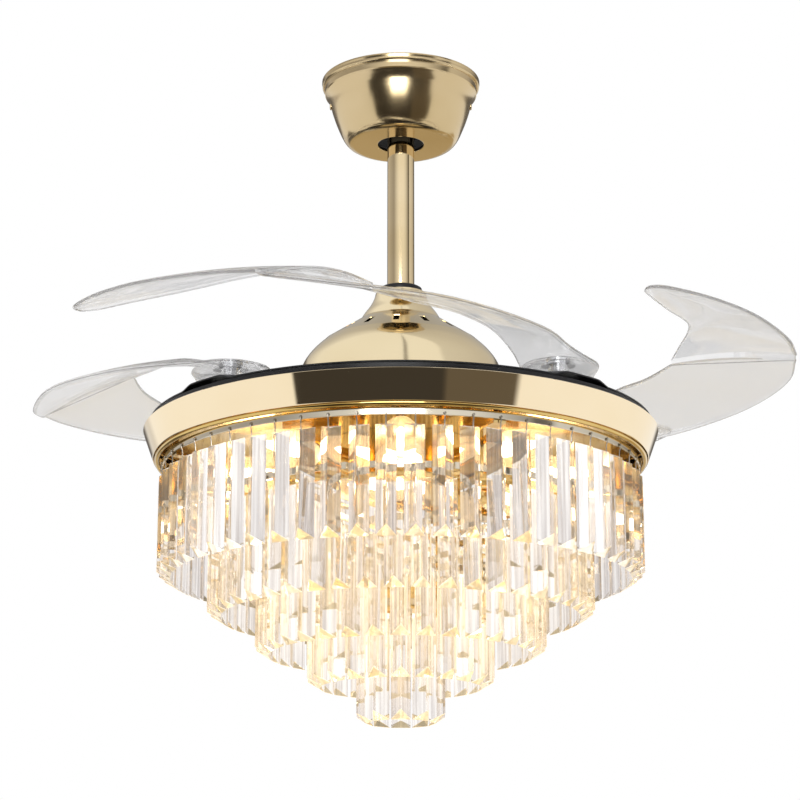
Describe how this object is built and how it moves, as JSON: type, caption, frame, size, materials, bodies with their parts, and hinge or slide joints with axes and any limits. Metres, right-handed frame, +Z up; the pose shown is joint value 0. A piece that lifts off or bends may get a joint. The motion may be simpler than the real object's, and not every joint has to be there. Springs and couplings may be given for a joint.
{
  "type": "ceiling fan",
  "caption": "Ceiling fan on a down rod, with folding clear blades over a gold ring and stepped tiers of hanging glass prisms around candle bulbs.",
  "frame": {"origin": "centre of the hanger bracket's flat top, on the ceiling face", "axes": "+Z up through the down rod, +X to the right and +Y away from the viewer, seen from the front"},
  "size_m": [0.7346, 0.7346, 0.6435],
  "materials": {
    "brushed_steel": "brushed steel",
    "satin_gold": "satin champagne gold",
    "polished_gold": "polished champagne-gold plating",
    "black_satin": "black satin enamel",
    "black_nylon": "moulded nylon",
    "white_plastic": "moulded plastic",
    "stator_iron": "laminated iron with windings",
    "magnet": "ferrite",
    "clear_acrylic": "clear moulded acrylic",
    "crystal_glass": "cut and polished glass",
    "lamp_glass": "warm lit bulb"
  },
  "bodies": {
    "ceiling_mount": {"ceiling_bracket": "brushed_steel", "canopy": "satin_gold", "canopy_screw_1": "satin_gold", "canopy_screw_2": "satin_gold", "receiver_box": "white_plastic"},
    "drop": {"hanger_ball": "black_nylon", "ball_pin": "brushed_steel", "downrod": "satin_gold", "rod_collar": "black_satin", "motor_yoke": "brushed_steel", "yoke_bolt": "brushed_steel", "yoke_nut": "brushed_steel", "motor_dome": "polished_gold", "stator_shaft": "brushed_steel", "stator_core": "stator_iron", "light_pan": "polished_gold", "pan_locknut": "brushed_steel", "housing_ring": "polished_gold", "lamp_drum": "polished_gold", "tier_frame": "polished_gold", "prism_tier_1": "crystal_glass", "prism_tier_2": "crystal_glass", "prism_tier_3": "crystal_glass", "prism_tier_4": "crystal_glass", "prism_tier_5": "crystal_glass", "bulb_1": "lamp_glass", "bulb_2": "lamp_glass", "bulb_3": "lamp_glass", "bulb_4": "lamp_glass", "bulb_5": "lamp_glass", "bulb_6": "lamp_glass", "bulb_7": "lamp_glass", "bulb_8": "lamp_glass"},
    "rotor": {"rotor_shell_lower": "brushed_steel", "rotor_shell_upper": "brushed_steel", "bearing_lower": "brushed_steel", "bearing_upper": "brushed_steel", "magnet_ring": "magnet", "blade_disc": "black_satin", "disc_cover": "black_satin", "pivot_bolt_1": "brushed_steel", "pivot_bolt_2": "brushed_steel", "pivot_bolt_3": "brushed_steel", "pivot_bolt_4": "brushed_steel", "return_spring_1": "brushed_steel", "return_spring_2": "brushed_steel", "return_spring_3": "brushed_steel", "return_spring_4": "brushed_steel"},
    "sync": {"sync_ring": "white_plastic"},
    "blade_arm_1": {"blade_1": "clear_acrylic", "sector_gear_1": "white_plastic"},
    "blade_arm_2": {"blade_2": "clear_acrylic", "sector_gear_2": "white_plastic"},
    "blade_arm_3": {"blade_3": "clear_acrylic", "sector_gear_3": "white_plastic"},
    "blade_arm_4": {"blade_4": "clear_acrylic", "sector_gear_4": "white_plastic"}
  },
  "joints": [
    {"name": "ceiling_swing", "type": "hinge", "parent": "ceiling_mount", "child": "drop", "pos_m": [0, 0, -0.0327], "axis": [1, 0, 0], "range_deg": [-12, 12]},
    {"name": "rotor_spin", "type": "hinge", "parent": "drop", "child": "rotor", "pos_m": [0, 0, -0.3405], "axis": [0, 0, 1], "continuous": true},
    {"name": "blade_fold_1", "type": "hinge", "parent": "rotor", "child": "blade_arm_1", "pos_m": [-0.15477, -0.14282, -0.345], "axis": [0, 0, 1], "range_deg": [-40, 44]},
    {"name": "blade_fold_2", "type": "hinge", "parent": "rotor", "child": "blade_arm_2", "pos_m": [0.14282, -0.15477, -0.345], "axis": [0, 0, 1], "range_deg": [-40, 44]},
    {"name": "blade_fold_3", "type": "hinge", "parent": "rotor", "child": "blade_arm_3", "pos_m": [0.15477, 0.14282, -0.345], "axis": [0, 0, 1], "range_deg": [-40, 44]},
    {"name": "blade_fold_4", "type": "hinge", "parent": "rotor", "child": "blade_arm_4", "pos_m": [-0.14282, 0.15477, -0.345], "axis": [0, 0, 1], "range_deg": [-40, 44]},
    {"name": "sync_turn", "type": "hinge", "parent": "rotor", "child": "sync", "pos_m": [0, 0, -0.3615], "axis": [0, 0, 1], "range_deg": [-7.4, 6.8]}
  ],
  "couplings": [
    {"joint": "blade_fold_2", "follows": "blade_fold_1", "ratio": 1},
    {"joint": "blade_fold_3", "follows": "blade_fold_1", "ratio": 1},
    {"joint": "blade_fold_4", "follows": "blade_fold_1", "ratio": 1},
    {"joint": "sync_turn", "follows": "blade_fold_1", "ratio": -0.16667}
  ]
}
